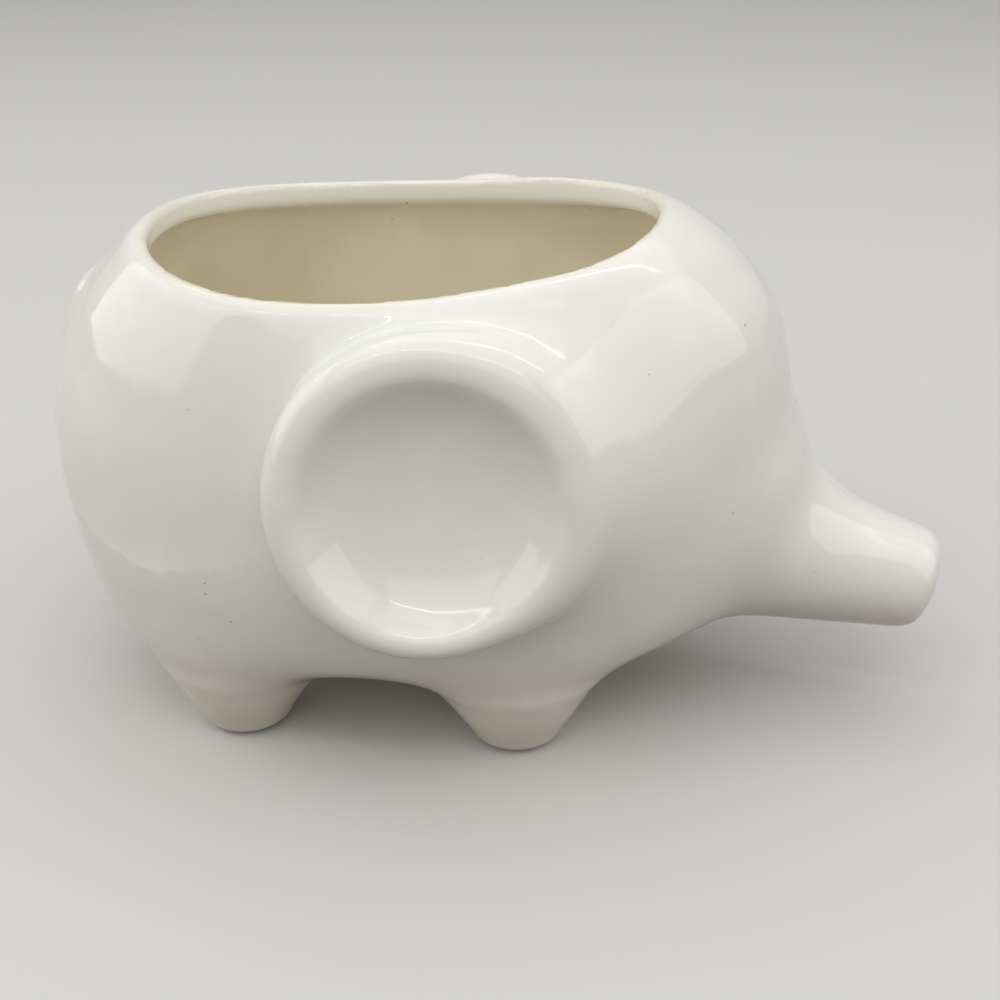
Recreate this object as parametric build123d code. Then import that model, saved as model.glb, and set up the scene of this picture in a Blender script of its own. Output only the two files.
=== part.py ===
"""An elephant shaped planter: a hollow clay body with its trunk, ears, feet and tail luted on."""
from build123d import *

import os
from math import copysign, cos, pi, radians, sin, tan

# Every size is in millimetres. +X points from the rump to the trunk tip and +Z up. Y = 0 is the plane
# of symmetry, and X = 0 is where the body is widest, until the datum is moved at the end.

# Body and head, one hollow shell on an oval plan, widest low down
body_length = 146.3
body_width = 95.0
belly_height = 15.0
shell_wall = 3.4
belly_wall = 4.5
rump_share = 0.46

# Levels of the shell's outside from the belly up: height, reach back, reach forward and half width,
# as shares, and the fullness of the rear of the oval, where 2 is an ellipse and more is squarer
outside_shares = (
    (0.000, 0.690, 0.660, 0.650, 2.6),
    (0.025, 0.755, 0.745, 0.735, 2.6),
    (0.067, 0.830, 0.830, 0.825, 2.6),
    (0.130, 0.895, 0.900, 0.905, 2.5),
    (0.220, 0.945, 0.950, 0.965, 2.4),
    (0.350, 0.985, 0.984, 1.000, 2.3),
    (0.485, 1.000, 0.998, 0.990, 2.25),
    (0.620, 0.980, 1.000, 0.962, 2.2),
    (0.730, 0.928, 0.980, 0.922, 2.15),
    (0.820, 0.862, 0.936, 0.878, 2.1),
    (0.894, 0.778, 0.866, 0.822, 2.1),
    (0.950, 0.702, 0.788, 0.768, 2.1),
    (1.000, 0.625, 0.675, 0.700, 2.1),
)
front_fullness = 2.22
# Levels of the hollow: height from its floor to its roof, and inset from the outside in walls, as shares
hollow_shares = (
    (0.00, 1.60),
    (0.09, 1.00),
    (0.20, 1.00),
    (0.36, 1.00),
    (0.52, 1.00),
    (0.68, 1.00),
    (0.82, 1.00),
    (0.93, 1.25),
    (1.00, 2.40),
)

# Mouth: a saddle that dips at the sides and rises towards the head, with an upright collar inside
rim_height = 102.0
rim_dip = 4.3
rim_rise_angle = 1.9
lip_thickness = 2.8
collar_height = 2.8
lip_round = 0.9
rim_fullness = 2.1

# Trunk: stations along its centre line, and a blunt closed tip
trunk_overhang = 30.2
trunk_tip_height = 26.4
trunk_tip_radius = 10.4
trunk_root_drop = 60.5
trunk_root_rise = 15.6
trunk_tip_round = 2.4
# Distance back from the tip, height above the tip and radius, as shares of the sizes above, and the tilt
trunk_shares = (
    (0.675, 1.000, 2.120, 36),
    (0.570, 0.715, 1.740, 29),
    (0.450, 0.490, 1.440, 23),
    (0.317, 0.302, 1.225, 18),
    (0.183, 0.155, 1.105, 15),
    (0.067, 0.045, 1.020, 14),
    (0.000, 0.000, 0.980, 14),
)

# Ears: round dished discs with a rolled edge, turned so that the front edge lies close to the head
ear_radius = 28.7
ear_roll_radius = 3.7
ear_dish_depth = 5.4
ear_dish_flat_radius = 10.0
ear_back_taper = 1.8
ear_root_depth = 21.0
ear_set_back = 62.0
ear_stand = 2.4
ear_drop = 33.6
ear_lean_angle = 12.5
ear_turn_angle = 9.0
# Cheek: the oval swelling of the head that each ear runs out into, by its half sizes and its place
cheek_half_length = 32.0
cheek_half_width = 27.0
cheek_half_height = 33.0
cheek_lead = 13.5
cheek_drop = 4.0
cheek_inset = 26.5

# Feet: four short stumps that flare into the flanks, flat where they stand
foot_inset = 24.0
rear_foot_inset = 38.8
front_foot_inset = 51.5
foot_height = 36.0
foot_radius = 14.5
foot_draw_in = 5.0
# Height, radius and how far the centre has drawn in towards the middle, as shares of the sizes above
foot_shares = (
    (0.000, 0.385, 0.00),
    (0.022, 0.520, 0.00),
    (0.083, 0.665, 0.00),
    (0.194, 0.800, 0.03),
    (0.333, 0.930, 0.10),
    (0.500, 1.090, 0.25),
    (0.722, 1.280, 0.55),
    (1.000, 1.380, 1.00),
)

# Tail: a bent roll of clay that rises out of the rump and sinks back into it
tail_drop = 13.0
tail_length = 29.0
tail_radius = 3.9
tail_middle_bury = 1.5
tail_end_bury = 4.2

# Points on each oval
oval_points = 20

back_reach = body_length * rump_share
front_reach = body_length - back_reach
half_width = body_width / 2
rim_slope = tan(radians(rim_rise_angle))
# The form is carried up past the highest point of the rim before the mouth is cut
shoulder_height = rim_height + front_reach * rim_slope
body_height = shoulder_height - belly_height
trunk_reach = front_reach + trunk_overhang
ear_x = front_reach - ear_set_back
ear_spread = half_width + ear_stand
ear_height = rim_height - ear_drop
front_foot_x = front_reach - front_foot_inset
rear_foot_x = rear_foot_inset - back_reach
foot_spread = half_width - foot_inset
tail_low_height = rim_height - tail_drop - tail_length


def oval(back, front, half_width, height, fullness):
    """A flat egg shape: a smooth curve through points of two superellipses that share their widest place."""
    points = []
    for step in range(oval_points):
        along = cos(2 * pi * step / oval_points)
        across = sin(2 * pi * step / oval_points)
        reach, power = (front, 2 / front_fullness) if along > 0 else (back, 2 / fullness)
        x = reach * copysign(abs(along) ** power, along)
        y = half_width * copysign(abs(across) ** power, across)
        points.append((x, y, height))
    return make_face(Wire([Spline(*points, periodic=True)]))


def outside_at(height):
    """The outside's reach back, reach forward, half width and fullness, read between the table's rows."""
    share = (height - belly_height) / body_height
    upper = next((row for row in outside_shares if row[0] >= share), outside_shares[-1])
    lower = outside_shares[max(outside_shares.index(upper) - 1, 0)]
    part = (share - lower[0]) / (upper[0] - lower[0]) if upper[0] > lower[0] else 0
    back, front, width, fullness = (low + (high - low) * part for low, high in zip(lower[1:], upper[1:]))
    return back_reach * back, front_reach * front, half_width * width, fullness


def level(height, inset=0.0):
    """The outside's oval at a height, drawn in by an inset."""
    back, front, width, fullness = outside_at(height)
    return oval(back - inset, front - inset, width - inset, height, fullness)


def body_outside():
    """The clay form before it is hollowed and before the mouth is cut."""
    return loft([level(belly_height + body_height * row[0]) for row in outside_shares])


def mouth_reaches():
    """How far the rim's outer edge reaches back, forward and to the sides, each at its own height."""
    back = outside_at(rim_height - back_reach * rim_slope)[0]
    front = outside_at(shoulder_height)[1]
    width = outside_at(rim_height - rim_dip)[2]
    return back, front, width


def hollow():
    """The planting space: it follows the outside one wall in, then comes up through the collar."""
    floor = belly_height + belly_wall
    roof = rim_height - rim_dip - collar_height
    sections = [level(floor + (roof - floor) * share, shell_wall * walls) for share, walls in hollow_shares]
    back, front, width = (reach - lip_thickness for reach in mouth_reaches())
    mouth = oval(back, front, width, roof - shell_wall, rim_fullness)
    return loft(sections) + extrude(mouth, shoulder_height + shell_wall - roof)


def below_rim():
    """A long cylinder on its side, whose top is the saddle that the mouth is cut to."""
    width = mouth_reaches()[2]
    saddle_radius = (width**2 + rim_dip**2) / (2 * rim_dip)
    place = Location((0, 0, rim_height)) * Rotation(0, -rim_rise_angle, 0)
    along_x = Location((0, 0, -saddle_radius)) * Rotation(0, 90, 0)
    return place * along_x * Cylinder(saddle_radius, 2 * body_length)


def body_shell(outside):
    """The hollow shell with its cut and softened rim."""
    shell = (outside & below_rim()) - hollow()
    cut_face = shell.faces().sort_by(Axis.Z)[-1]
    return fillet(cut_face.edges(), lip_round)


def trunk(outside):
    """A tapering trunk that flares into the face and chest, and is blunt and closed at its tip."""
    sections = []
    for back, rise, radius, tilt in trunk_shares:
        place = Location(
            (trunk_reach - trunk_root_drop * back, 0, trunk_tip_height + trunk_root_rise * rise)
        )
        sections.append(place * Rotation(0, 90 + tilt, 0) * Circle(trunk_tip_radius * radius))
    form = loft(sections)
    tip_edge = form.faces().sort_by(Axis.X)[-1].edges()
    return fillet(tip_edge, trunk_tip_round) - outside


def ear():
    """A dished disc with a rolled edge, tapered into the flank behind and run out into the cheek in front."""
    crest_radius = ear_radius - ear_roll_radius
    floor = ear_roll_radius - ear_dish_depth
    crest, edge = (crest_radius, ear_roll_radius), (ear_radius, 0)
    back, middle = (ear_radius - ear_back_taper, -ear_root_depth), (0, -ear_root_depth)
    side = Polyline(edge, back, middle, (0, ear_roll_radius), crest)
    roll = CenterArc((crest_radius, 0), ear_roll_radius, 0, 90)
    disc = revolve(Plane.XZ * make_face(Wire([*side.edges(), *roll.edges()])), Axis.Z)
    above, inner = (crest_radius, ear_radius), (0, ear_radius)
    bowl = Polyline(crest, above, inner, (0, floor), (ear_dish_flat_radius, floor))
    wall = Spline(bowl @ 1, crest, tangents=((1, 0), (1, 0)))
    dish = revolve(Plane.XZ * make_face(Wire([*bowl.edges(), *wall.edges()])), Axis.Z)
    lean = radians(ear_lean_angle)
    turn = radians(ear_turn_angle)
    outward = (sin(turn) * cos(lean), cos(turn) * cos(lean), sin(lean))
    seat = Plane(origin=(ear_x, ear_spread, ear_height), z_dir=outward).location
    swelling = scale(Sphere(1), by=(cheek_half_length, cheek_half_width, cheek_half_height))
    cheek = Location((ear_x + cheek_lead, half_width - cheek_inset, ear_height - cheek_drop)) * swelling
    return seat * disc + cheek - seat * dish


def foot(x):
    """A short stump that flares and draws in as it rises into the flank."""
    sections = []
    for height, radius, draw in foot_shares:
        y = foot_spread - foot_draw_in * draw
        sections.append(Location((x, y, foot_height * height)) * Circle(foot_radius * radius))
    return loft(sections)


def rump_x(outside, height):
    """Where the rump lies at a height, read from the form itself."""
    sheet = Location((0, 0, height)) * Rectangle(2 * body_length, 2 * body_width)
    return (sheet & outside).bounding_box().min.X


def tail(outside):
    """A roll of clay bent more than the rump: it stands proud in the middle and its ends are buried."""
    points = []
    for up_share, bury in ((0, tail_end_bury), (0.5, tail_middle_bury), (1, tail_end_bury)):
        height = tail_low_height + tail_length * up_share
        points.append((rump_x(outside, height) + bury, 0, height))
    bend = ThreePointArc(*points)
    return sweep(Plane(origin=bend @ 0, z_dir=bend % 0) * Circle(tail_radius), bend) - outside


outside = body_outside()
nodes = {"body_shell": body_shell(outside), "trunk": trunk(outside), "tail": tail(outside)}
# Each member that comes in a pair is seated on its own flank
for name, form in {
    "ear": ear(),
    "front_foot": foot(front_foot_x),
    "rear_foot": foot(rear_foot_x),
}.items():
    nodes[name + "_left"] = form - outside
    nodes[name + "_right"] = mirror(form, Plane.XZ) - outside

# The datum is the middle of the overall length, on the ground
whole = Compound(children=[Compound(solid.solids()) for solid in nodes.values()]).bounding_box()
datum = Location((-(whole.min.X + whole.max.X) / 2, 0, -whole.min.Z))

os.makedirs("parts", exist_ok=True)
for name, solid in nodes.items():
    export_step(Compound((datum * solid).solids()), f"parts/{name}.step")
    print(name, len(solid.solids()), round(solid.volume))
print("overall", whole.size, "datum", datum.position)
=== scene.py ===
"""Glazes the elephant planter, carved as one smooth form and parted where its members were joined."""
from math import cos, radians, sin, tan

import bpy
import numpy as np
from mathutils import Matrix, Vector


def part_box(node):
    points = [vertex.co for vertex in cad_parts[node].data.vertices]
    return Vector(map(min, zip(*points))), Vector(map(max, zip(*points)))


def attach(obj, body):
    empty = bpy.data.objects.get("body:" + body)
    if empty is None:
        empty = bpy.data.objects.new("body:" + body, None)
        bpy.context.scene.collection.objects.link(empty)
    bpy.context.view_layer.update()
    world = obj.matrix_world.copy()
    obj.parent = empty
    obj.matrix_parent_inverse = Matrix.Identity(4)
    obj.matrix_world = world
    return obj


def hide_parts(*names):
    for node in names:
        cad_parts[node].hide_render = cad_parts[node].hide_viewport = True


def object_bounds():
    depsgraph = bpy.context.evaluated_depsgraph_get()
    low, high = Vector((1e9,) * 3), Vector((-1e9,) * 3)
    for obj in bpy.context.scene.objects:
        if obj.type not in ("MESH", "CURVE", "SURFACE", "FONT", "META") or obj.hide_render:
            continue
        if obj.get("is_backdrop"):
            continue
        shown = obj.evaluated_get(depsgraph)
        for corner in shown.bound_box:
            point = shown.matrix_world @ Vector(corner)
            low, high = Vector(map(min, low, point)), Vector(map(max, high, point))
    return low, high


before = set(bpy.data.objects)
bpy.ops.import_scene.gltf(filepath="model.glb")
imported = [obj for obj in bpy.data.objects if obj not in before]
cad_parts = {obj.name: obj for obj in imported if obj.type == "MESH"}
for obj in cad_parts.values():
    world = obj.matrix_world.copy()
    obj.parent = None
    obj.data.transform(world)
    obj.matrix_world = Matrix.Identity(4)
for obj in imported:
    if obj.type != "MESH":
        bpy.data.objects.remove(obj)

bl_info = {
    "name": "Elephant Planter",
    "version": (1, 0, 0),
    "blender": (4, 5, 0),
    "location": "3D View > Sidebar > Planter",
    "description": "Models and glazes a small elephant shaped planter around its clay members",
    "category": "Add Mesh",
}

# Lengths are in metres, in the part's own frame: +X to the trunk tip, +Y to the elephant's left, +Z up
MM = 0.001
CAD_LOW, CAD_HIGH = (Vector(corner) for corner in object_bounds())
SHELL_LOW, SHELL_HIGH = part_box("body_shell")
TRUNK_LOW, TRUNK_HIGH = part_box("trunk")
TAIL_LOW, TAIL_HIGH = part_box("tail")
EAR_LOW, EAR_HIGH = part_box("ear_left")
FRONT_FOOT_LOW, FRONT_FOOT_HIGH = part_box("front_foot_left")
REAR_FOOT_LOW, REAR_FOOT_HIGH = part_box("rear_foot_left")

# Levels of the body from the belly up: height, reach back, reach forward and half width, as shares,
# and the fullness of the rear and of the front of the oval, where 2 is an ellipse and more is squarer
BODY_SHARES = (
    (0.000, 0.690, 0.660, 0.650, 2.60, 2.22),
    (0.025, 0.755, 0.745, 0.735, 2.60, 2.22),
    (0.067, 0.830, 0.830, 0.825, 2.60, 2.22),
    (0.130, 0.895, 0.900, 0.905, 2.50, 2.22),
    (0.220, 0.945, 0.950, 0.965, 2.40, 2.22),
    (0.350, 0.985, 0.984, 1.000, 2.30, 2.22),
    (0.485, 1.000, 0.998, 0.990, 2.25, 2.22),
    (0.620, 0.980, 1.000, 0.962, 2.20, 2.22),
    (0.730, 0.928, 0.980, 0.922, 2.15, 2.22),
    (0.820, 0.862, 0.936, 0.878, 2.10, 2.20),
    (0.894, 0.778, 0.866, 0.822, 2.10, 2.16),
    (0.950, 0.702, 0.788, 0.768, 2.10, 2.11),
    (1.000, 0.625, 0.675, 0.700, 2.10, 2.05),
)
# Share of the body's length that lies behind its widest place
WIDEST_SHARE = 0.46
# Height of the last level, as a share of the shell's height
SHOULDER_SHARE = 1.0075

# Trunk: distance back from the tip, height above the tip and radius, as shares, and the tilt in degrees
TRUNK_SHARES = (
    (0.800, 1.250, 2.480, 41),
    (0.675, 0.945, 2.180, 36),
    (0.570, 0.665, 1.820, 29),
    (0.450, 0.445, 1.510, 23),
    (0.317, 0.268, 1.275, 18),
    (0.183, 0.142, 1.120, 15),
    (0.067, 0.045, 1.020, 14),
    (0.000, 0.000, 0.980, 14),
)

# Feet: height, radius and how far the centre has drawn in towards the middle, as shares
FOOT_SHARES = (
    (0.000, 0.385, 0.00),
    (0.022, 0.520, 0.00),
    (0.083, 0.665, 0.00),
    (0.194, 0.800, 0.03),
    (0.333, 0.930, 0.10),
    (0.500, 1.000, 0.25),
    (0.722, 1.050, 0.55),
    (1.000, 1.050, 1.00),
)

# The order in which the carved clay is numbered; 0 is air
MEMBERS = (
    "body_shell", "trunk", "tail", "ear_left", "ear_right",
    "front_foot_left", "front_foot_right", "rear_foot_left", "rear_foot_right",
)


def linear(hex_colour):
    """The linear colour of an sRGB hex value."""
    shares = [int(hex_colour[i:i + 2], 16) / 255 for i in (0, 2, 4)]
    return tuple(s / 12.92 if s <= 0.04045 else ((s + 0.055) / 1.055) ** 2.4 for s in shares)


def length(name, description, millimetres):
    """A length that a user may change."""
    return bpy.props.FloatProperty(
        name=name, description=description, default=millimetres * MM, min=0, unit="LENGTH", precision=5
    )


def angle(name, description, degrees):
    """An angle that a user may change."""
    return bpy.props.FloatProperty(
        name=name, description=description, default=radians(degrees), subtype="ANGLE"
    )


def share(name, description, default):
    """A share from 0 to 1 that a user may change."""
    return bpy.props.FloatProperty(name=name, description=description, default=default, min=0, max=1)


def colour(name, description, default):
    """A colour that a user may change, given as sRGB hex."""
    return bpy.props.FloatVectorProperty(
        name=name, description=description, default=linear(default), subtype="COLOR", min=0, max=1
    )


class PlanterClay(bpy.types.PropertyGroup):
    """Sizes of the clay form."""

    wall: length("Wall", "Thickness of the cast wall", 3.4)
    floor: length("Floor", "Thickness of the floor over the belly", 4.5)
    belly_round: length("Belly round", "How far the flanks round under into the belly", 16)
    lip: length("Lip", "Thickness of the rim at the mouth", 2.8)
    lip_round: length("Lip round", "Width of the softening on both edges of the rim", 2.3)
    collar: length("Collar", "Height of the upright band inside the rim", 5.4)
    collar_round: length("Collar round", "Softening below the upright band", 3.0)
    rim_dip: length("Rim dip", "How much lower the rim is at the sides", 5.6)
    rim_bow: length("Rim bow", "How much lower the rim is at its two ends than a straight slope", 1.1)
    rim_half_width: length("Rim half width", "Half the width of the mouth", 36.4)
    rim_drop: length("Rim drop", "Height of the shell's top above the middle of the rim", 1.0)
    rim_rise: angle("Rim rise", "Slope of the rim up to the head", 1.5)
    trunk_radius: length("Trunk radius", "Radius near the tip of the trunk", 10.4)
    trunk_drop: length("Trunk length", "Length of the trunk from its root's centre line", 60.5)
    trunk_rise: length("Trunk rise", "How far the root stands above the tip", 15.6)
    trunk_tip_height: length("Trunk tip height", "Height of the middle of the tip", 26.4)
    trunk_tip_round: length("Trunk tip round", "Softening round the blunt tip", 6.5)
    trunk_tip_dome: length("Trunk tip dome", "Radius of the faint dome on the tip", 50)
    trunk_fillet: length("Trunk fillet", "Width of the fillet at the trunk's root", 10)
    ear_radius: length("Ear radius", "Radius of each ear", 28.4)
    ear_roll: length("Ear roll", "Radius of the rolled edge", 4.6)
    ear_tall: bpy.props.FloatProperty(
        name="Ear tall", description="Height of the ear over its width", default=1.045
    )
    ear_dish_radius: length("Ear dish radius", "Radius at which the dish meets the ear's face", 22.4)
    ear_dish_drop: length("Ear dish drop", "How far the dish's middle lies below the ear's", 1.3)
    ear_dish: length("Ear dish", "Depth of the dish below the ear's face", 9.0)
    ear_dish_wall: share("Ear dish wall", "Share of the dish's depth that is its steep wall", 0.5)
    ear_dish_round: length("Ear dish round", "Softening where the dish cuts the roll and the cheek", 3.6)
    ear_undercut: length("Ear undercut", "How far the edge overhangs its root", 2.4)
    ear_depth: length("Ear depth", "Depth of the ear's root below its edge", 21)
    ear_height: length("Ear height", "Height of the ear's middle", 66.9)
    ear_spread: length("Ear spread", "Distance of the ear's middle from the centre plane", 49.7)
    ear_reach: length("Ear reach", "Distance of the ear's middle from its rear edge", 29.2)
    ear_lean: angle("Ear lean", "How far the ear faces up", 9)
    ear_turn: angle("Ear turn", "How far the ear faces forward", 11)
    ear_back_fillet: length("Ear back fillet", "Fillet behind and below the ear", 1.6)
    ear_top_fillet: length("Ear top fillet", "Extra fillet over the ear", 5.0)
    ear_front_fillet: length("Ear front fillet", "Extra fillet where the ear runs into the cheek", 20)
    cheek_length: length("Cheek length", "Half the length of the swelling in front of the ear", 32)
    cheek_width: length("Cheek width", "Half the width of the swelling", 27)
    cheek_height: length("Cheek height", "Half the height of the swelling", 33)
    cheek_lead: length("Cheek lead", "How far the swelling's middle lies ahead of the ear's", 13.5)
    cheek_drop: length("Cheek drop", "How far the swelling's middle lies below the ear's", 4.0)
    cheek_spread: length("Cheek spread", "Distance of the swelling from the centre plane", 21.6)
    cheek_fillet: length("Cheek fillet", "Width of the fillet round the swelling", 12)
    foot_spread: length("Foot spread", "Distance of each foot from the centre plane", 23.5)
    foot_radius: length("Foot radius", "Radius of a foot where it swells", 14.5)
    foot_height: length("Foot height", "Height that a foot's root reaches", 36)
    foot_draw: length("Foot draw", "How far a foot's root draws in", 5)
    foot_fillet: length("Foot fillet", "Width of the fillet round a foot's root", 21)
    pad_round: length("Pad round", "Softening round the flat pad of a foot", 1.0)
    tail_radius: length("Tail radius", "Radius of the tail's roll of clay", 3.9)
    tail_bury: length("Tail bury", "How deep the middle of the tail's roll lies in the rump", 1.5)
    tail_end_bury: length("Tail end bury", "How deep the ends of the tail's roll lie in the rump", 5.6)
    tail_fillet: length("Tail fillet", "Width of the fillet along the tail", 3.0)
    seat: length("Seat", "How deep each member is let into the body", 2.0)
    mesh_step: length("Mesh step", "Spacing of the mesh", 1.06)


def smooth_curve(places, values):
    """A curve without kinks through a table's points, as a function; it runs straight beyond its ends."""
    gaps = np.diff(places)
    slopes = np.diff(values) / gaps
    bends = np.zeros(len(places))
    system = np.diag(2 * (gaps[:-1] + gaps[1:])) + np.diag(gaps[1:-1], 1) + np.diag(gaps[1:-1], -1)
    bends[1:-1] = np.linalg.solve(system, 6 * np.diff(slopes))
    first_slope = slopes[0] - gaps[0] * bends[1] / 6
    last_slope = slopes[-1] + gaps[-1] * bends[-2] / 6

    def height_at(place):
        inside = np.clip(place, places[0], places[-1])
        i = np.clip(np.searchsorted(places, inside) - 1, 0, len(gaps) - 1)
        t = inside - places[i]
        start_slope = slopes[i] - gaps[i] * (2 * bends[i] + bends[i + 1]) / 6
        curved = values[i] + t * start_slope + t**2 * bends[i] / 2
        curved = curved + t**3 * (bends[i + 1] - bends[i]) / (6 * gaps[i])
        beyond = place - inside
        return curved + beyond * np.where(beyond < 0, first_slope, last_slope)

    return height_at


class Table:
    """A table of shares as smooth curves over its first column, sampled finely for speed."""

    samples = 4000
    margin = 0.3

    def __init__(self, rows):
        rows = np.array(sorted(rows), float)
        low, high = rows[0, 0], rows[-1, 0]
        spare = self.margin * (high - low)
        self.places = np.linspace(low - spare, high + spare, self.samples)
        self.columns = [smooth_curve(rows[:, 0], column)(self.places) for column in rows.T[1:]]
        self.slopes = [np.gradient(column, self.places) for column in self.columns]

    def at(self, place):
        """The columns' values at a place."""
        return [np.interp(place, self.places, column) for column in self.columns]

    def slope_at(self, place, number):
        """How fast one column changes at a place."""
        return np.interp(place, self.places, self.slopes[number])


def smooth_min(a, b, width):
    """The nearer of two distances, which joins two forms with a fillet of that width."""
    share = np.maximum(width - np.abs(a - b), 0) / width
    return np.minimum(a, b) - share**3 * width / 6


def smooth_max(a, b, width):
    """The farther of two distances, which cuts one form by another with an edge softened by that width."""
    return -smooth_min(-a, -b, width)


def smooth_step(low, high, value):
    """Rises evenly from 0 at low to 1 at high."""
    t = np.clip((value - low) / (high - low), 0, 1)
    return t * t * (3 - 2 * t)


class Clay:
    """The planter's clay as distances in metres: below zero in the clay, above zero in the air."""

    tiny = 1e-7
    far = 1.0
    # Steps by which the nearest place on the trunk's bent centre line is found
    trunk_rounds = 4
    # The steep part of the dish rises with this power of the way out from its middle
    wall_power = 6
    # How far past its edge the clay still counts as the ear's own
    ear_skirt = 1.5 * MM
    # The number of the member that the body and each form make; a pair's right one has the next number
    form_numbers = np.array((1, 2, 3, 4, 6, 8))
    first_paired = 3

    def __init__(self, sizes):
        self.sizes = sizes
        span = SHELL_HIGH[0] - SHELL_LOW[0]
        self.back_reach = span * WIDEST_SHARE
        self.front_reach = span - self.back_reach
        self.middle = SHELL_LOW[0] + self.back_reach
        self.half_width = SHELL_HIGH[1]
        self.belly = SHELL_LOW[2]
        self.height = (SHELL_HIGH[2] - SHELL_LOW[2]) * SHOULDER_SHARE
        self.rim_height = SHELL_HIGH[2] - sizes.rim_drop
        self.rim_reach = self.front_reach * BODY_SHARES[-1][2]
        self.levels = Table(BODY_SHARES)
        self.trunk_table = Table(
            [(-back, rise, radius, radians(tilt)) for back, rise, radius, tilt in TRUNK_SHARES]
        )
        self.foot_table = Table(FOOT_SHARES)
        tilt = radians(TRUNK_SHARES[-1][-1])
        self.trunk_tip = TRUNK_HIGH[0] - sizes.trunk_radius * sin(tilt) / 2
        lean, turn = sizes.ear_lean, sizes.ear_turn
        outward = np.array((sin(turn) * cos(lean), cos(turn) * cos(lean), sin(lean)))
        forward = np.array((cos(turn), -sin(turn), 0))
        self.ear_ways = outward, forward, np.cross(forward, outward)
        self.ear_x = EAR_LOW[0] + sizes.ear_reach
        self.tail_centre, self.tail_bend = self.tail_arc()

    def flank(self, x, y, z):
        """Level distance out from the side of the body, and how much the side's slope shortens it."""
        level = (z - self.belly) / self.height
        back, front, half, rear_fullness, front_fullness = self.levels.at(level)
        along = x - self.middle
        along = np.where(np.abs(along) < self.tiny, self.tiny, along)
        ahead = along > 0
        reach = np.where(ahead, front * self.front_reach, back * self.back_reach)
        power = np.where(ahead, front_fullness, rear_fullness)
        across = half * self.half_width
        oval = (np.abs(along / reach) ** power + np.abs(y / across) ** power) ** (1 / power)
        outward = np.hypot(along, y)
        end_slope = np.where(
            ahead,
            self.levels.slope_at(level, 1) * self.front_reach,
            self.levels.slope_at(level, 0) * self.back_reach,
        )
        side_slope = self.levels.slope_at(level, 2) * self.half_width
        turned = (along / outward) ** 2
        slope = (end_slope * turned + side_slope * (1 - turned)) / self.height
        return outward - outward / oval, 1 / np.sqrt(1 + slope**2)

    def rim(self, x, y):
        """Height of the rim's surface: a saddle that dips at the sides and rises to the head."""
        s = self.sizes
        slope = self.rim_height + tan(s.rim_rise) * (x - self.middle)
        bow = s.rim_bow * ((x - self.middle) / self.rim_reach) ** 2
        return slope - bow - s.rim_dip * (y / s.rim_half_width) ** 2

    def body(self, x, y, z):
        """The body and head before the clay is hollowed, cut level with the rim."""
        out, slant = self.flank(x, y, z)
        side = out * slant
        closed = smooth_max(side, self.belly - z, self.sizes.belly_round)
        return smooth_max(closed, z - self.rim(x, y), self.sizes.lip_round), side

    def hollow(self, x, y, z, side):
        """The planting space and the mouth above it."""
        s = self.sizes
        rim = self.rim(x, y)
        room = smooth_max(side + s.wall, self.belly + s.floor - z, s.belly_round)
        room = smooth_max(room, z - (rim - s.collar), s.collar_round)
        mouth = smooth_max(self.flank(x, y, rim)[0] + s.lip, rim - 2 * s.collar - z, s.collar_round)
        return smooth_min(room, mouth, s.collar_round)

    def trunk(self, x, y, z):
        """A tapering trunk round a bent centre line, flared at its root and blunt at its tip."""
        s = self.sizes
        root = self.trunk_tip - s.trunk_drop * TRUNK_SHARES[0][0]
        place = np.clip(x, root, self.trunk_tip)
        for _ in range(self.trunk_rounds):
            rise, radius, tilt = self.trunk_table.at((place - self.trunk_tip) / s.trunk_drop)
            below = z - s.trunk_tip_height - s.trunk_rise * rise
            along = (x - place) * np.cos(tilt) - below * np.sin(tilt)
            place = np.clip(place + along * np.cos(tilt), root, self.trunk_tip)
        share = (place - self.trunk_tip) / s.trunk_drop
        rise, radius, tilt = self.trunk_table.at(share)
        below = z - s.trunk_tip_height - s.trunk_rise * rise
        along = (x - place) * np.cos(tilt) - below * np.sin(tilt)
        off_axis = np.hypot(y, (x - place) * np.sin(tilt) + below * np.cos(tilt))
        taper = self.trunk_table.slope_at(share, 1) * s.trunk_radius / s.trunk_drop
        side = (off_axis - radius * s.trunk_radius) / np.sqrt(1 + taper**2)
        lean = radians(TRUNK_SHARES[-1][-1])
        past_tip = (x - self.trunk_tip) * cos(lean) - (z - s.trunk_tip_height) * sin(lean)
        tip = past_tip + off_axis**2 / (2 * s.trunk_tip_dome)
        return np.maximum(smooth_max(side, tip, s.trunk_tip_round), root - x)

    def ear_place(self, x, y, z):
        """Distance out from the ear's face, from its axis, and towards the head and the top."""
        out = np.array((x - self.ear_x, y - self.sizes.ear_spread, z - self.sizes.ear_height))
        height, ahead, above = (np.tensordot(way, out, 1) for way in self.ear_ways)
        return height, np.hypot(ahead, above / self.sizes.ear_tall), ahead, above

    def ear(self, x, y, z):
        """A round ear with a softened edge that overhangs its root, before its dish is pressed in."""
        s = self.sizes
        height, off_axis, _, _ = self.ear_place(x, y, z)
        undercut = s.ear_undercut * smooth_step(0, 2 * s.ear_roll, -height)
        side = off_axis - s.ear_radius + undercut
        return np.maximum(smooth_max(side, height - s.ear_roll, 2 * s.ear_roll), -height - s.ear_depth)

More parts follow.
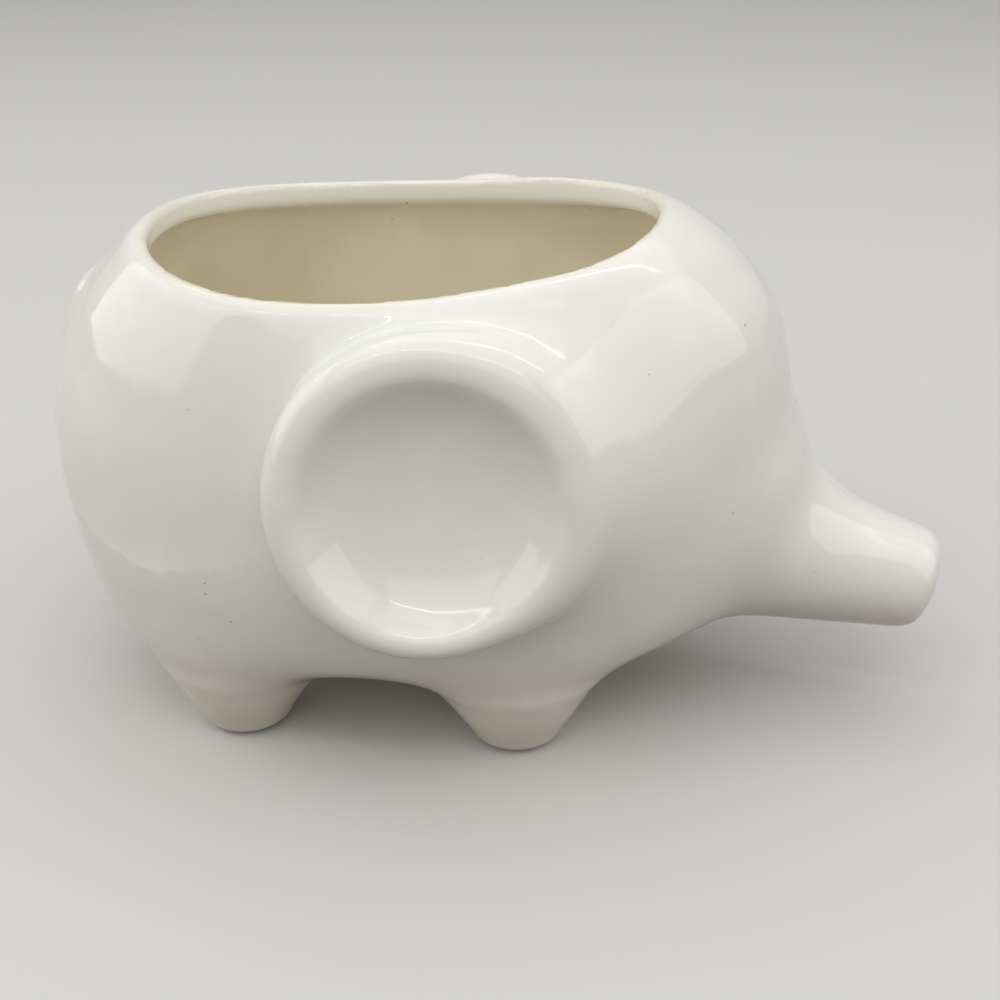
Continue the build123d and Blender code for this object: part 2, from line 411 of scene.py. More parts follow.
    def dish(self, x, y, z):
        """Height over the dish that is pressed into the ear and, at its front, into the cheek."""
        s = self.sizes
        height, _, ahead, above = self.ear_place(x, y, z)
        share = np.hypot(ahead, above / s.ear_tall + s.ear_dish_drop) / s.ear_dish_radius
        wall, bowl = s.ear_dish_wall * s.ear_dish, (1 - s.ear_dish_wall) * s.ear_dish
        rise = bowl * share**2 + wall * share**self.wall_power
        slope = 2 * bowl * share + self.wall_power * wall * share ** (self.wall_power - 1)
        return (height - s.ear_roll + s.ear_dish - rise) / np.sqrt(1 + (slope / s.ear_dish_radius) ** 2)

    def pinna(self, x, y, z, ear, cheek):
        """What belongs to an ear: its disc, the clay under its dish, and the cheek a short way round it."""
        s = self.sizes
        height, off_axis, _, _ = self.ear_place(x, y, z)
        half_depth = s.ear_depth / 2
        below_dish = np.maximum(off_axis - s.ear_dish_radius, np.abs(height + half_depth) - half_depth)
        cheek_near = np.maximum(cheek, off_axis - s.ear_radius - self.ear_skirt)
        return np.minimum(np.minimum(ear, cheek_near), below_dish)

    def cheek(self, x, y, z):
        """The oval swelling of the head that the ear runs out into."""
        s = self.sizes
        halves = (s.cheek_length, s.cheek_width, s.cheek_height)
        out = (x - self.ear_x - s.cheek_lead, y - s.cheek_spread, z - s.ear_height + s.cheek_drop)
        share = np.sqrt(sum((value / half) ** 2 for value, half in zip(out, halves)))
        pull = np.sqrt(sum((value / half**2) ** 2 for value, half in zip(out, halves)))
        return share * (share - 1) / np.maximum(pull, self.tiny)

    def ear_fillet(self, x, y, z):
        """Width of the fillet round an ear: slight behind and below, soft on top, wide towards the head."""
        s = self.sizes
        _, _, ahead, above = self.ear_place(x, y, z)
        front = smooth_step(-s.ear_radius / 4, s.ear_radius, ahead)
        top = smooth_step(0, s.ear_radius, above) * (1 - front)
        return s.ear_back_fillet + s.ear_front_fillet * front + s.ear_top_fillet * top

    def foot(self, x, y, z, foot_x):
        """A stump that flares as it rises, flat where it stands."""
        s = self.sizes
        share = np.clip(z / s.foot_height, 0, 1)
        radius, draw = self.foot_table.at(share)
        off_axis = np.hypot(x - foot_x, y - s.foot_spread + s.foot_draw * draw)
        flare = self.foot_table.slope_at(share, 0) * s.foot_radius / s.foot_height
        side = (off_axis - radius * s.foot_radius) / np.sqrt(1 + flare**2)
        return np.maximum(smooth_max(side, -z, s.pad_round), z - s.foot_height)

    def tail_arc(self):
        """Centre and radius of the arc that the tail's roll of clay follows, in the plane of symmetry."""
        s = self.sizes
        heights = (TAIL_LOW[2], (TAIL_LOW[2] + TAIL_HIGH[2]) / 2, TAIL_HIGH[2])
        buries = (s.tail_end_bury, s.tail_bury, s.tail_end_bury)
        points = []
        for z, bury in zip(heights, buries):
            back = self.levels.at((z - self.belly) / self.height)[0]
            points.append(np.array((self.middle - back * self.back_reach + bury, z)))
        low, middle, high = points
        chords = np.array((middle - low, high - middle))
        mids = np.array(((low + middle) / 2 @ chords[0], (middle + high) / 2 @ chords[1]))
        centre = np.linalg.solve(chords, mids)
        return centre, float(np.hypot(*(middle - centre)))

    def tail(self, x, y, z):
        """A bent roll of clay laid down the rump."""
        from_bend = np.hypot(x - self.tail_centre[0], z - self.tail_centre[1]) - self.tail_bend
        roll = np.hypot(from_bend, y) - self.sizes.tail_radius
        middle = (TAIL_LOW[2] + TAIL_HIGH[2]) / 2
        half = (TAIL_HIGH[2] - TAIL_LOW[2]) / 2
        rounded = smooth_max(roll, np.abs(z - middle) - half, 2 * self.sizes.tail_radius)
        return np.maximum(rounded, x - self.middle)

    def near(self, form, points, low, high, *more):
        """A member's distance near its own box, and far away elsewhere."""
        margin = 2 * self.sizes.foot_fillet
        inside = np.ones(len(points[0]), bool)
        for value, least, most in zip(points, low, high):
            inside &= (value > least - margin) & (value < most + margin)
        distance = np.full(len(inside), self.far)
        distance[inside] = form(*(value[inside] for value in points), *more)
        return distance

    def carve(self, places):
        """For each place: distance to the whole clay, to the hollow, the member there, and to the body."""
        s = self.sizes
        x, y, z = places.T
        left = np.abs(y)
        body, side = self.body(x, y, z)
        front_x = (FRONT_FOOT_LOW[0] + FRONT_FOOT_HIGH[0]) / 2
        rear_x = (REAR_FOOT_LOW[0] + REAR_FOOT_HIGH[0]) / 2
        trunk = self.near(self.trunk, (x, y, z), TRUNK_LOW, TRUNK_HIGH)
        tail = self.near(self.tail, (x, y, z), TAIL_LOW, TAIL_HIGH)
        ear = self.near(self.ear, (x, left, z), EAR_LOW, EAR_HIGH)
        cheek = self.near(self.cheek, (x, left, z), EAR_LOW, EAR_HIGH)
        front_foot = self.near(self.foot, (x, left, z), FRONT_FOOT_LOW, FRONT_FOOT_HIGH, front_x)
        rear_foot = self.near(self.foot, (x, left, z), REAR_FOOT_LOW, REAR_FOOT_HIGH, rear_x)
        whole = smooth_min(body, trunk, s.trunk_fillet)
        whole = smooth_min(whole, front_foot, s.foot_fillet)
        whole = smooth_min(whole, rear_foot, s.foot_fillet)
        whole = smooth_min(whole, tail, s.tail_fillet)
        whole = smooth_min(whole, cheek, s.cheek_fillet)
        whole = smooth_min(whole, ear, self.ear_fillet(x, left, z))
        whole = smooth_max(whole, self.dish(x, left, z), s.ear_dish_round)
        whole = smooth_max(whole, -z, s.pad_round)
        hollow = self.hollow(x, y, z, side)
        whole = smooth_max(whole, -hollow, s.lip_round)
        forms = (trunk, tail, self.pinna(x, left, z, ear, cheek), front_foot, rear_foot)
        claims = [np.maximum(form, -s.seat) for form in forms]
        owner = np.argmin(np.array([body, *claims]), axis=0)
        on_right = (y < 0) & (owner >= self.first_paired)
        return whole, hollow, self.form_numbers[owner] + on_right, body

    def distance(self, places):
        """Distance to the whole clay."""
        return self.carve(places)[0]


def in_parts(function, places, most=300_000):
    """A function of many places, worked out for some of them at a time."""
    parts = [function(part) for part in np.array_split(places, len(places) // most + 1)]
    return [np.concatenate(values) for values in zip(*parts)]


def slope_of(distance, places, step):
    """How a distance changes along X, Y and Z at each place."""
    columns = []
    for axis in range(3):
        nudge = np.zeros(3)
        nudge[axis] = step
        columns.append((distance(places + nudge) - distance(places - nudge)) / (2 * step))
    return np.stack(columns, axis=1)


def average_of_neighbours(places, quads):
    """The middle of each place's neighbours along the edges of the quads."""
    total = np.zeros_like(places)
    count = np.zeros(len(places))
    for corner in range(4):
        here, there = quads[:, corner], quads[:, (corner + 1) % 4]
        for start, end in ((here, there), (there, here)):
            count += np.bincount(start, minlength=len(places))
            for axis in range(3):
                total[:, axis] += np.bincount(start, weights=places[end, axis], minlength=len(places))
    return total / np.maximum(count, 1)[:, None]


class Carving:
    """The carved clay as quads, each between two numbered members, or between one member and the air."""

    # Steps of the grid beyond the clay, and where a joint crosses a grid line
    spare_steps = 2
    joint_share = 0.5
    relax_rounds = 3
    relax_share = 0.5
    # How deep under the skin the joints between members stay
    joint_cover = 0.4 * MM
    # How far apart a slope is measured, and how far round a place its turn is
    slope_step = 0.02 * MM
    turn_reach = 0.8 * MM

    def __init__(self, sizes):
        self.clay = Clay(sizes)
        self.step = sizes.mesh_step
        self.find_quads()
        self.settle()
        self.read_finish()

    def find_quads(self):
        """Numbers the members on a grid and puts a quad across each grid line whose two ends differ."""
        spare = self.spare_steps * self.step
        ends = zip(CAD_LOW, CAD_HIGH)
        axes = [np.arange(low - spare, high + spare + self.step, self.step) for low, high in ends]
        shape = [len(values) for values in axes]
        grid = np.stack(np.meshgrid(*axes, indexing="ij"), axis=-1).reshape(-1, 3)
        whole, member = in_parts(lambda part: (self.clay.carve(part)[i] for i in (0, 2)), grid)
        value = whole.reshape(shape)
        label = np.where(whole < 0, member, 0).reshape(shape)
        origin = grid[0]
        corners, points, sides = [], [], []
        for axis in range(3):
            low_side = label.take(range(shape[axis] - 1), axis)
            high_side = label.take(range(1, shape[axis]), axis)
            here = np.argwhere(low_side != high_side)
            there = here.copy()
            there[:, axis] += 1
            ends = [tuple(here.T), tuple(there.T)]
            low_value, high_value = (value[end] for end in ends)
            pair = np.stack([label[end] for end in ends], axis=1)
            by_air = (pair == 0).any(1)
            crossing = np.full(len(here), self.joint_share)
            crossing[by_air] = (low_value / (low_value - high_value))[by_air]
            point = origin + here * self.step
            point[:, axis] += crossing * self.step
            first, second = (axis + 1) % 3, (axis + 2) % 3
            cells = []
            for first_shift, second_shift in ((-1, -1), (0, -1), (0, 0), (-1, 0)):
                cell = here.copy()
                cell[:, first] += first_shift
                cell[:, second] += second_shift
                cells.append(np.ravel_multi_index(tuple(cell.T), shape))
            corners.append(np.stack(cells, axis=1))
            points.append(point)
            sides.append(pair)
        corners, points, self.sides = (np.concatenate(part) for part in (corners, points, sides))
        cells, index = np.unique(corners, return_inverse=True)
        self.quads = index.reshape(-1, 4)
        count = np.bincount(self.quads.ravel(), minlength=len(cells))
        totals = [np.bincount(self.quads.ravel(), weights=np.repeat(column, 4)) for column in points.T]
        self.places = np.stack(totals, axis=1) / count[:, None]
        self.by_air = (self.sides == 0).any(1)
        self.on_skin = np.zeros(len(cells), bool)
        self.on_skin[self.quads[self.by_air]] = True
        self.on_joint = np.zeros(len(cells), bool)
        self.on_joint[self.quads[~self.by_air]] = True

    def distance(self, places):
        """Distance to the whole clay, worked out in parts."""
        return in_parts(lambda part: (self.clay.distance(part),), places)[0]

    def to_depth(self, places, depth=0.0):
        """The places moved square to the clay's surface, or as far as they lack to a depth under it."""
        here = self.distance(places)
        nudges = self.slope_step * np.eye(3)
        rises = [self.distance(places + nudge) - here for nudge in nudges]
        slope = np.stack(rises, axis=1) / self.slope_step
        lack = np.maximum(here + depth, 0) if depth else here
        return places - slope * (lack / (slope**2).sum(1))[:, None]

    def settle(self):
        """Evens out the quads and brings their corners exactly onto the clay's surface."""
        skin = self.on_skin
        seam = self.on_skin & self.on_joint
        for _ in range(self.relax_rounds):
            middle = average_of_neighbours(self.places, self.quads[self.by_air])
            free = skin & ~seam
            self.places[free] += self.relax_share * (middle - self.places)[free]
            self.places[skin] = self.to_depth(self.places[skin])
            middle = average_of_neighbours(self.places, self.quads[~self.by_air])
            inner = self.on_joint & ~seam
            self.places[inner] += self.relax_share * (middle - self.places)[inner]
            self.places[inner] = self.to_depth(self.places[inner], self.joint_cover)
        self.places[skin] = self.to_depth(self.places[skin])
        self.normals = np.zeros_like(self.places)
        slope = slope_of(self.distance, self.places[skin], self.slope_step)
        self.normals[skin] = slope / np.linalg.norm(slope, axis=1)[:, None]

    def read_finish(self):
        """What the glaze needs at each corner: its depth in the mouth, and how sharply the clay turns."""
        whole, hollow, _, body = in_parts(self.clay.carve, self.places)
        x, y, z = self.places.T
        inside = np.abs(hollow) < np.abs(body)
        self.depth = np.where(inside, np.maximum(self.clay.rim(x, y) - z, 0), 0)
        nudges = self.turn_reach * np.concatenate((np.eye(3), -np.eye(3)))
        self.turn = sum(self.distance(self.places + nudge) - whole for nudge in nudges) / self.turn_reach**2

    def member(self, name):
        """One member's corners, quads and corner normals, closed where it meets its neighbours."""
        number = MEMBERS.index(name) + 1
        first, second = self.sides.T
        quads = np.concatenate((self.quads[first == number], self.quads[second == number][:, ::-1]))
        by_air = np.concatenate((self.by_air[first == number], self.by_air[second == number]))
        used, index = np.unique(quads, return_inverse=True)
        places = self.places[used]
        index = index.reshape(-1, 4)
        corners = places[index]
        flat = np.cross(corners[:, 2] - corners[:, 0], corners[:, 3] - corners[:, 1])
        flat /= np.maximum(np.linalg.norm(flat, axis=1), Clay.tiny**2)[:, None]
        normals = np.where(by_air[:, None, None], self.normals[used][index], flat[:, None, :])
        return places, index, by_air, normals, self.on_skin[used], self.depth[used], self.turn[used]


def split_at_inner_corner(quads, normals, chosen, on_skin):
    """Faces and corner normals, with each chosen quad cut in two from its one corner under the skin."""
    inner = np.argmax(~on_skin[quads[chosen]], axis=1)
    order = (inner[:, None] + np.arange(4)) % 4
    turned = np.take_along_axis(quads[chosen], order, axis=1)
    halves = np.concatenate((turned[:, [0, 1, 2]], turned[:, [0, 2, 3]]))
    flat = np.repeat(normals[chosen][:, :1], 3, axis=1).reshape(-1, 3)
    faces = quads[~chosen].tolist() + halves.tolist()
    return faces, np.concatenate((normals[~chosen].reshape(-1, 3), flat, flat))


def edge_keys(quads, count):
    """A number for each edge of the quads, the same whichever way round it runs."""
    ends = np.stack((quads, np.roll(quads, -1, axis=1)), axis=-1).reshape(-1, 2)
    return ends.min(1) * count + ends.max(1)


# The clay is carved once, by the first operator that needs it
carvings = {}


def clay_piece(context, name, material):
    """Adds the glazed piece that stands for one clay member."""
    if "planter" not in carvings:
        carvings["planter"] = Carving(context.scene.planter_clay)
    places, quads, by_air, normals, on_skin, depth, turn = carvings["planter"].member(name)
    # A joint's quad with three corners on the skin would lie in the skin if it were cut between them
    chosen = ~by_air & (on_skin[quads].sum(1) == 3)
    faces, normals = split_at_inner_corner(quads, normals, chosen, on_skin)
    title = name + "_glazed"
    mesh = bpy.data.meshes.new(title)
    mesh.from_pydata(places, [], faces)
    mesh.shade_smooth()
    for measure, values in (("mouth_depth", depth), ("clay_turn", turn)):
        mesh.attributes.new(measure, "FLOAT", "POINT").data.foreach_set("value", values.astype(np.float32))
    seam = np.intersect1d(edge_keys(quads[by_air], len(places)), edge_keys(quads[~by_air], len(places)))
    ends = np.zeros(2 * len(mesh.edges), np.int64)
    mesh.edges.foreach_get("vertices", ends)
    ends = ends.reshape(-1, 2)
    keys = ends.min(1) * len(places) + ends.max(1)
    sharp = mesh.attributes.new("sharp_edge", "BOOLEAN", "EDGE")
    sharp.data.foreach_set("value", np.isin(keys, seam))
    mesh.normals_split_custom_set(normals.tolist())
    mesh.materials.append(material)
    piece = bpy.data.objects.new(title, mesh)
    context.scene.collection.objects.link(piece)
    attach(piece, "root")
    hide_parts(name)


GLAZE_TITLE = "white tin glaze over buff earthenware"
# Typical of a fired glaze
GLAZE_IOR = 1.52
# Grain of each pattern in the glaze, and how many finer ones lie in it
PATTERNS = {
    "cloud": (22 * MM, 2),
    "waver": (9 * MM, 2),
    "dull patch": (16 * MM, 2),
    "wave": (9 * MM, 1),
    "orange peel": (1.3 * MM, 1),
}
# How far the end of the white inside wanders, and how high the waves and the orange peel stand
SWINGS = {"waver": 1.6 * MM, "wave": 0.14 * MM, "orange peel": 0.006 * MM}
# Clay that turns about this tightly counts as an edge or a hollow
EDGE_RADIUS = 4 * MM
# One iron speck at most in each cell, in this share of the cells, and how well it hides the glaze
SPECK_CELL = 4 * MM
SPECK_CHANCE = 0.22
SPECK_COVER = 0.7

# The sockets of a colour mix share their names with other kinds of mix, so they go by number
MIX_SHARE, MIX_FIRST, MIX_SECOND, MIXED = 0, 6, 7, 2


class PlanterGlaze(bpy.types.PropertyGroup):
    """Colours and measures of the glaze."""

    glaze: colour("Glaze", "Opaque white glaze at full thickness", "E9E7E0")
    thin: colour("Thin glaze", "Glaze over sharp edges, where the clay warms it", "E3DCCB")
    pooled: colour("Pooled glaze", "Glaze gathered in the hollows", "E4E5E1")
    # Painted shade: the low glaze is a warmer tint that stands in for the warm shade on the feet and the
    # belly
    low: colour("Low glaze", "Glaze on the feet and the belly, where it ran thin", "EDE5D5")
    low_from: length("Low glaze from", "Height at which the glaze begins to run thin", 36)
    # Painted shade: both inside colours are warm creams that stand in for the warm shade deep in the mouth;
    # the clouds between them vary at random
    inside: colour("Inside glaze", "Thin glaze over the buff clay inside", "F1EAD6")
    inside_deep: colour("Deep inside", "Clay that shows through in the thinnest places inside", "EBE2CB")
    # Painted light: the band is whiter than the outer glaze, standing in for the light that the upright band
    # inside the rim catches
    band: colour("Band", "Glaze on the upright band inside the rim", "F4F2E9")
    speck: colour("Speck", "Iron speck in the clay under the glaze", "8C7B63")
    bare: colour("Bare clay", "Wiped clay under the feet", "D8C8AA")
    # Painted light and shade: the bright band ends at this depth, and the painted warm shade of the inside
    # begins
    band_depth: length("Band depth", "Depth in the mouth where the white glaze ends", 5.4)
    roughness: share("Roughness", "Roughness of the fired glaze", 0.07)
    bare_roughness: share("Bare roughness", "Roughness of the wiped clay", 0.8)


def add_node(tree, kind, inputs=None, **settings):
    """Adds a node, sets its properties, and links or sets its inputs, which go by name or by number."""
    node = tree.nodes.new(kind)
    for name, value in settings.items():
        setattr(node, name, value)
    for name, value in (inputs or {}).items():
        socket = node.inputs[name]
        if isinstance(value, bpy.types.NodeSocket):
            tree.links.new(value, socket)
        else:
            socket.default_value = (*value, 1) if socket.type == "RGBA" else value
    return node


def glazed_earthenware(glaze):
    """White tin glaze, fired glossy over slip-cast buff earthenware.

    To the eye it is opaque and even, warmer where it runs thin over edges, with painted warm shade low down
    and inside.
    """
    material = bpy.data.materials.new(GLAZE_TITLE)
    material.use_nodes = True
    tree = material.node_tree
    tree.nodes.clear()
    place = add_node(tree, "ShaderNodeTexCoord").outputs["Object"]
    height = add_node(tree, "ShaderNodeSeparateXYZ", {"Vector": place}).outputs["Z"]
    turn = add_node(tree, "ShaderNodeAttribute", attribute_name="clay_turn").outputs["Fac"]
    depth = add_node(tree, "ShaderNodeAttribute", attribute_name="mouth_depth").outputs["Fac"]
    noise = {
        name: add_node(
            tree, "ShaderNodeTexNoise", {"Vector": place, "Scale": 1 / grain, "Detail": detail}
        ).outputs["Fac"]
        for name, (grain, detail) in PATTERNS.items()
    }
    swing = {
        name: add_node(tree, "ShaderNodeMath", {0: noise[name], 1: most}, operation="MULTIPLY").outputs[0]
        for name, most in SWINGS.items()
    }
    depth = add_node(tree, "ShaderNodeMath", {0: depth, 1: swing["waver"]}, operation="ADD").outputs[0]
    cells = add_node(tree, "ShaderNodeTexVoronoi", {"Vector": place, "Scale": 1 / SPECK_CELL})
    chance = add_node(tree, "ShaderNodeSeparateColor", {"Color": cells.outputs["Color"]}).outputs

    # Each measure is read off as a soft step between two of its values, with what it gives at each
    tight = 2 / EDGE_RADIUS
    rough = glaze.roughness
    step = {
        name: add_node(
            tree, "ShaderNodeMapRange",
            {"Value": source, "From Min": first, "From Max": last, "To Min": at_first, "To Max": at_last},
            interpolation_type="SMOOTHSTEP",
        ).outputs["Result"]
        for name, source, first, last, at_first, at_last in (
            # The glaze draws off sharp edges and gathers in hollows
            ("edge", turn, 0.35 * tight, 1.6 * tight, 0, 1),
            ("hollow", turn, -0.1 * tight, -0.5 * tight, 0, 1),
            # Painted warm shade low down, and the feet wiped bare where they stand in the kiln
            ("low", height, 8 * MM, glaze.low_from, 1, 0),
            ("wiped", height, 0.25 * MM, 0.45 * MM, 1, 0),
            # Inside, a band painted bright for the light it catches ends at a soft wavering line; below it is
            # painted warm shade, with faint clouds
            ("band", depth, 0.6 * MM, 2.2 * MM, 0, 1),
            ("below band", depth, glaze.band_depth, glaze.band_depth + 1.6 * MM, 0, 1),
            ("cloud", noise["cloud"], 0.42, 0.66, 0, 1),
            # Iron specks of 0.1 to 0.3 mm in radius come up through the glaze, as shares of their cell
            ("speck", chance["Green"], 0, 1, 0.03, 0.07),
            # The glaze is a touch duller in slow patches
            ("gloss", noise["dull patch"], 0.35, 0.65, rough - 0.02, rough + 0.04),
        )
    }
    near, chosen = (
        add_node(tree, "ShaderNodeMath", {0: value, 1: most}, operation="LESS_THAN").outputs[0]
        for value, most in ((cells.outputs["Distance"], step["speck"]), (chance["Red"], SPECK_CHANCE))
    )
    speck = near
    for factor in (chosen, SPECK_COVER):
        speck = add_node(tree, "ShaderNodeMath", {0: speck, 1: factor}, operation="MULTIPLY").outputs[0]
    # Painted shade deep in the mouth: a warm cream, clouded at random
    inside = add_node(
        tree, "ShaderNodeMix",
        {MIX_SHARE: step["cloud"], MIX_FIRST: glaze.inside, MIX_SECOND: glaze.inside_deep},
        data_type="RGBA",
    ).outputs[MIXED]
    # Over the glaze go warm edges, pooled hollows, painted warm shade low down, the painted bright band and
    # painted warm shade inside, specks and bare pads
    coat = glaze.glaze
    for cover, over in (
        (step["edge"], glaze.thin),
        (step["hollow"], glaze.pooled),
        (step["low"], glaze.low),
        (step["band"], glaze.band),
        (step["below band"], inside),
        (speck, glaze.speck),
        (step["wiped"], glaze.bare),
    ):
        coat = add_node(
            tree, "ShaderNodeMix", {MIX_SHARE: cover, MIX_FIRST: coat, MIX_SECOND: over}, data_type="RGBA"
        ).outputs[MIXED]

    # The fired surface is wavy, with a fine orange peel; the wiped clay is matt
    relief = add_node(
        tree, "ShaderNodeMath", {0: swing["wave"], 1: swing["orange peel"]}, operation="ADD"
    ).outputs[0]
    bump = add_node(tree, "ShaderNodeBump", {"Height": relief, "Strength": 1, "Distance": 1})
    matt = add_node(
        tree, "ShaderNodeMath", {0: step["wiped"], 1: glaze.bare_roughness}, operation="MULTIPLY"
    ).outputs[0]
    finish = add_node(tree, "ShaderNodeMath", {0: step["gloss"], 1: matt}, operation="MAXIMUM").outputs[0]
    shader = add_node(
        tree, "ShaderNodeBsdfPrincipled",
        {"Base Color": coat, "Roughness": finish, "Normal": bump.outputs["Normal"], "IOR": GLAZE_IOR},
    )
    add_node(tree, "ShaderNodeOutputMaterial", {"Surface": shader.outputs["BSDF"]})
    return material


def glaze_material(context):
    """The glaze, made once."""
    return bpy.data.materials.get(GLAZE_TITLE) or glazed_earthenware(context.scene.planter_glaze)


class MemberOperator:
    """What the operators for the clay members share."""

    bl_options = {"REGISTER"}
    members = ()

    def execute(self, context):
        """Adds the piece of each member."""
        for name in self.members:
            clay_piece(context, name, glaze_material(context))
        return {"FINISHED"}


class PLANTER_OT_body(MemberOperator, bpy.types.Operator):
    """Adds the glazed hollow body and head with the mouth"""

    bl_idname = "planter.body"
    bl_label = "Body and mouth"
    members = ("body_shell",)


class PLANTER_OT_trunk(MemberOperator, bpy.types.Operator):
    """Adds the glazed trunk"""

    bl_idname = "planter.trunk"
    bl_label = "Trunk"
    members = ("trunk",)


class PLANTER_OT_ears(MemberOperator, bpy.types.Operator):
    """Adds both dished ears"""

    bl_idname = "planter.ears"
    bl_label = "Ears"
    members = ("ear_left", "ear_right")


class PLANTER_OT_feet(MemberOperator, bpy.types.Operator):
    """Adds the four feet"""

    bl_idname = "planter.feet"
    bl_label = "Feet"
    members = ("front_foot_left", "front_foot_right", "rear_foot_left", "rear_foot_right")


class PLANTER_OT_tail(MemberOperator, bpy.types.Operator):
    """Adds the tail on the rump"""

    bl_idname = "planter.tail"
    bl_label = "Tail"
    members = ("tail",)


# Half the side of the floor in metres, and the finish of its board
FLOOR_HALF = 1.3
BOARD_ROUGHNESS = 0.9
BOARD_SPECULAR = 0.2
# Lamps: place and size in metres, and power in watts
LAMPS = {
    "overhead softbox": ((0.08, 0.10, 0.80), (1.40, 1.10), 3.4),
    "front softbox": ((-0.05, -1.00, 1.20), (1.90, 1.40), 8.4),
    "left softbox": ((-1.10, -0.10, 0.55), (1.50, 0.90), 5.6),
    "right softbox": ((1.20, -0.20, 0.60), (1.20, 1.00), 4.6),
    "front tube": ((-0.10, -0.55, 0.95), (1.50, 0.014), 1.1),
    "rear tube": ((0.10, 0.40, 1.00), (1.50, 0.014), 0.9),
}
LAMP_TARGET = Vector((0, 0, 50 * MM))
# The camera's sensor in millimetres, and the nearest that it sees
SENSOR_WIDTH = 36
CLIP_START = 10 * MM


class PlanterStudio(bpy.types.PropertyGroup):
    """The studio round the planter."""

    ground: colour("Floor", "Colour of the floor and the backdrop", "D2D1CE")
    bounce: colour("Bounce", "Colour of the floor as it lights the planter from below", "8A8783")
    air: bpy.props.FloatProperty(name="Air", description="Strength of the light from all round", default=0.36)
    air_seen: bpy.props.FloatProperty(
        name="Air seen", description="Strength with which that light is seen", default=0.75
    )
    azimuth: angle("Azimuth", "How far the camera stands towards the trunk", 9.5)
    elevation: angle("Elevation", "How far the camera looks down", 28.2)
    roll: angle("Roll", "Tilt of the camera", -2.1)
    distance: length("Distance", "From the camera to the point it looks at", 320)
    target: bpy.props.FloatVectorProperty(
        name="Target", description="The point that the camera looks at",
        default=(0.37 * MM, 0, 40.7 * MM), unit="LENGTH",
    )
    lens: bpy.props.FloatProperty(
        name="Lens", description="Focal length in millimetres", default=55.76, unit="CAMERA"
    )


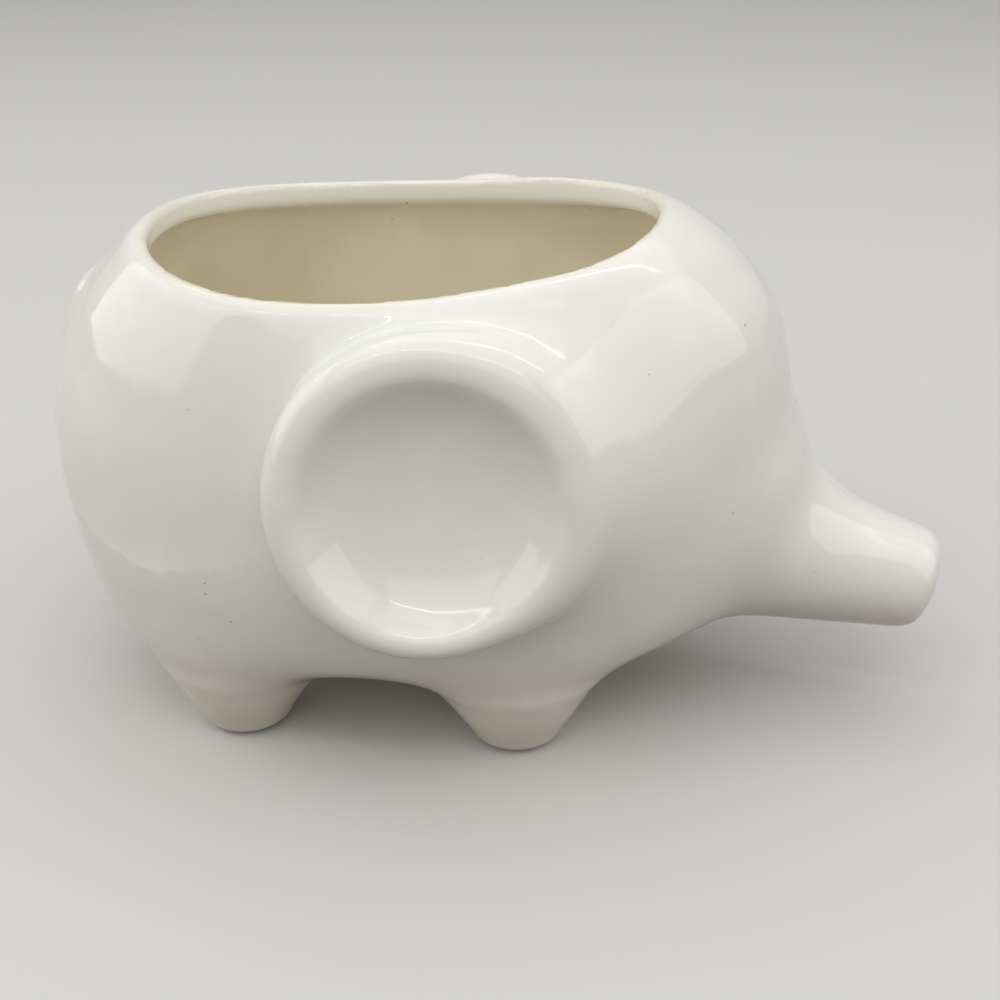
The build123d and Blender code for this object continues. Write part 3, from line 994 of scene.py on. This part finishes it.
class PLANTER_OT_studio(bpy.types.Operator):
    """Adds the floor, the soft lights and the camera"""

    bl_idname = "planter.studio"
    bl_label = "Studio"

    def execute(self, context):
        """Adds the floor, the lights and the camera, and sets the plain view."""
        studio = context.scene.planter_studio
        self.add_floor(context, studio)
        self.add_lights(context, studio)
        self.add_camera(context, studio)
        context.scene.view_settings.view_transform = "Standard"
        return {"FINISHED"}

    def seen_ray(self, tree):
        """1 for what the camera sees, straight or in a reflection, and 0 for light on the planter."""
        ray = add_node(tree, "ShaderNodeLightPath").outputs
        seen = ray["Is Camera Ray"]
        for kind in ("Is Glossy Ray", "Is Transmission Ray"):
            seen = add_node(tree, "ShaderNodeMath", {0: seen, 1: ray[kind]}, operation="MAXIMUM").outputs[0]
        return seen

    def add_floor(self, context, studio):
        """A wide plain floor of board, painted so matt that the planter's own gloss stands out."""
        signs = ((-1, -1), (1, -1), (1, 1), (-1, 1))
        mesh = bpy.data.meshes.new("floor")
        mesh.from_pydata([(FLOOR_HALF * a, FLOOR_HALF * b, 0) for a, b in signs], [], [(0, 1, 2, 3)])
        material = bpy.data.materials.new("matt painted board")
        material.use_nodes = True
        tree = material.node_tree
        shade = add_node(
            tree, "ShaderNodeMix",
            {MIX_SHARE: self.seen_ray(tree), MIX_FIRST: studio.bounce, MIX_SECOND: studio.ground},
            data_type="RGBA",
        )
        shader = tree.nodes["Principled BSDF"]
        tree.links.new(shade.outputs[MIXED], shader.inputs["Base Color"])
        shader.inputs["Roughness"].default_value = BOARD_ROUGHNESS
        shader.inputs["Specular IOR Level"].default_value = BOARD_SPECULAR
        mesh.materials.append(material)
        floor = bpy.data.objects.new("floor", mesh)
        context.scene.collection.objects.link(floor)
        floor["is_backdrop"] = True

    def add_lights(self, context, studio):
        """An even light from all round, four softboxes, and two tubes that draw thin bright lines."""
        world = bpy.data.worlds.new("studio air")
        context.scene.world = world
        world.use_nodes = True
        air = world.node_tree.nodes["Background"]
        air.inputs["Color"].default_value = (*studio.ground, 1)
        strength = add_node(
            world.node_tree, "ShaderNodeMapRange",
            {"Value": self.seen_ray(world.node_tree), "To Min": studio.air, "To Max": studio.air_seen},
        )
        world.node_tree.links.new(strength.outputs["Result"], air.inputs["Strength"])
        for name, (place, size, power) in LAMPS.items():
            lamp = bpy.data.lights.new(name, "AREA")
            lamp.shape = "RECTANGLE"
            lamp.size, lamp.size_y = size
            lamp.energy = power
            holder = bpy.data.objects.new(name, lamp)
            holder.location = place
            holder.rotation_mode = "QUATERNION"
            holder.rotation_quaternion = (LAMP_TARGET - Vector(place)).to_track_quat("-Z", "Y")
            context.scene.collection.objects.link(holder)

    def add_camera(self, context, studio):
        """A camera that stands as it did for the photograph."""
        a, e, r = studio.azimuth, studio.elevation, studio.roll
        back = Vector((sin(a) * cos(e), -cos(a) * cos(e), sin(e)))
        right = Vector((cos(a), sin(a), 0))
        up = back.cross(right)
        right_rolled = cos(r) * right + sin(r) * up
        up_rolled = cos(r) * up - sin(r) * right
        camera = bpy.data.objects.new("camera", bpy.data.cameras.new("camera"))
        camera.data.sensor_width = SENSOR_WIDTH
        camera.data.lens = studio.lens
        camera.data.clip_start = CLIP_START
        camera.rotation_mode = "QUATERNION"
        camera.rotation_quaternion = Matrix((right_rolled, up_rolled, back)).transposed().to_quaternion()
        camera.location = Vector(studio.target) + back * studio.distance
        context.scene.collection.objects.link(camera)
        context.scene.camera = camera


class PLANTER_PT_panel(bpy.types.Panel):
    """Lists the planter's operators and settings"""

    bl_label = "Elephant planter"
    bl_idname = "PLANTER_PT_panel"
    bl_space_type = "VIEW_3D"
    bl_region_type = "UI"
    bl_category = "Planter"

    def draw(self, context):
        for operator in OPERATORS:
            self.layout.operator(operator.bl_idname)
        for name, group in GROUPS.items():
            box = self.layout.box()
            for setting in group.__annotations__:
                box.prop(getattr(context.scene, name), setting)


GROUPS = {"planter_clay": PlanterClay, "planter_glaze": PlanterGlaze, "planter_studio": PlanterStudio}
OPERATORS = (
    PLANTER_OT_body, PLANTER_OT_trunk, PLANTER_OT_ears, PLANTER_OT_feet, PLANTER_OT_tail, PLANTER_OT_studio,
)


def register():
    """Registers the classes and hangs the settings on the scene."""
    for group in GROUPS.values():
        bpy.utils.register_class(group)
    for operator in OPERATORS:
        bpy.utils.register_class(operator)
    bpy.utils.register_class(PLANTER_PT_panel)
    for name, group in GROUPS.items():
        setattr(bpy.types.Scene, name, bpy.props.PointerProperty(type=group))


def unregister():
    """Takes the settings and classes away again."""
    for name in GROUPS:
        delattr(bpy.types.Scene, name)
    for kind in (PLANTER_PT_panel, *reversed(OPERATORS), *GROUPS.values()):
        bpy.utils.unregister_class(kind)


def main():
    """Builds the planter and its studio."""
    register()
    for operator in OPERATORS:
        module, name = operator.bl_idname.split(".")
        getattr(getattr(bpy.ops, module), name)()


if __name__ == "__main__":
    main()
